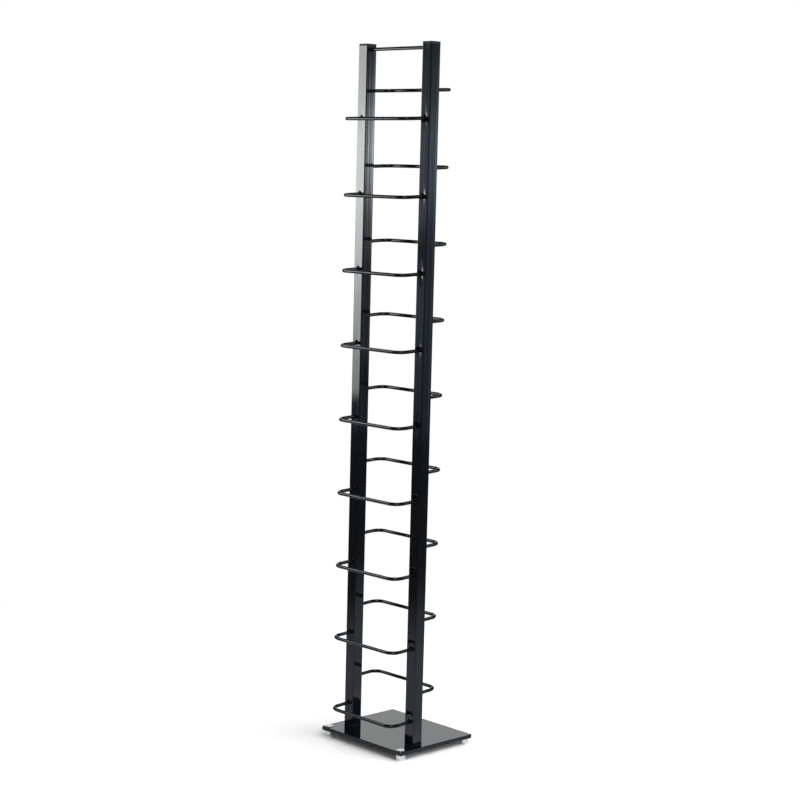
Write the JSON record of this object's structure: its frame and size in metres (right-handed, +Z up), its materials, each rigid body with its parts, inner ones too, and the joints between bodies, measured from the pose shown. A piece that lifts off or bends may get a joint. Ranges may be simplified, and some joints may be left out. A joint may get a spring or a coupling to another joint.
{
  "type": "cd dvd storage tower",
  "caption": "Slim free-standing tower with two square posts on a glass plate and tiers of bent wire hoops that hold disc cases.",
  "frame": {"origin": "on the floor, in the middle of the space that the tower takes up", "axes": "+Z up, X along the line of the two posts, front towards -Y"},
  "size_m": [0.235, 0.2054, 1.4],
  "materials": {
    "post": "gloss black powder coat on steel tube",
    "wire": "gloss black powder coat on steel wire",
    "base_glass": "polished black float glass with ground edges",
    "post_cap": "satin black moulded plastic",
    "gasket": "matt black rubber sheet",
    "fixings": "bright zinc plated steel",
    "foot": "turned satin aluminium",
    "foot_pad": "translucent white soft pad"
  },
  "bodies": {
    "root": {"base_glass": "base_glass", "post_left": "post", "post_cap_left": "post_cap", "post_gasket_left": "gasket", "post_nut_left": "fixings", "soft_washer_left": "gasket", "steel_washer_left": "fixings", "base_bolt_left": "fixings", "foot_screw_left": "foot", "post_right": "post", "post_cap_right": "post_cap", "post_gasket_right": "gasket", "post_nut_right": "fixings", "soft_washer_right": "gasket", "steel_washer_right": "fixings", "base_bolt_right": "fixings", "foot_screw_right": "foot", "top_rail": "wire", "front_hoop_1": "wire", "front_hoop_2": "wire", "front_hoop_3": "wire", "front_hoop_4": "wire", "front_hoop_5": "wire", "front_hoop_6": "wire", "front_hoop_7": "wire", "front_hoop_8": "wire", "front_hoop_9": "wire", "rear_hoop_1": "wire", "rear_hoop_2": "wire", "rear_hoop_3": "wire", "rear_hoop_4": "wire", "rear_hoop_5": "wire", "rear_hoop_6": "wire", "rear_hoop_7": "wire", "rear_hoop_8": "wire", "rear_hoop_9": "wire", "foot_front_left": "foot", "foot_front_right": "foot", "foot_rear_left": "foot", "foot_rear_right": "foot", "foot_pad_front_left": "foot_pad", "foot_pad_front_right": "foot_pad", "foot_pad_rear_left": "foot_pad", "foot_pad_rear_right": "foot_pad"}
  },
  "joints": []
}
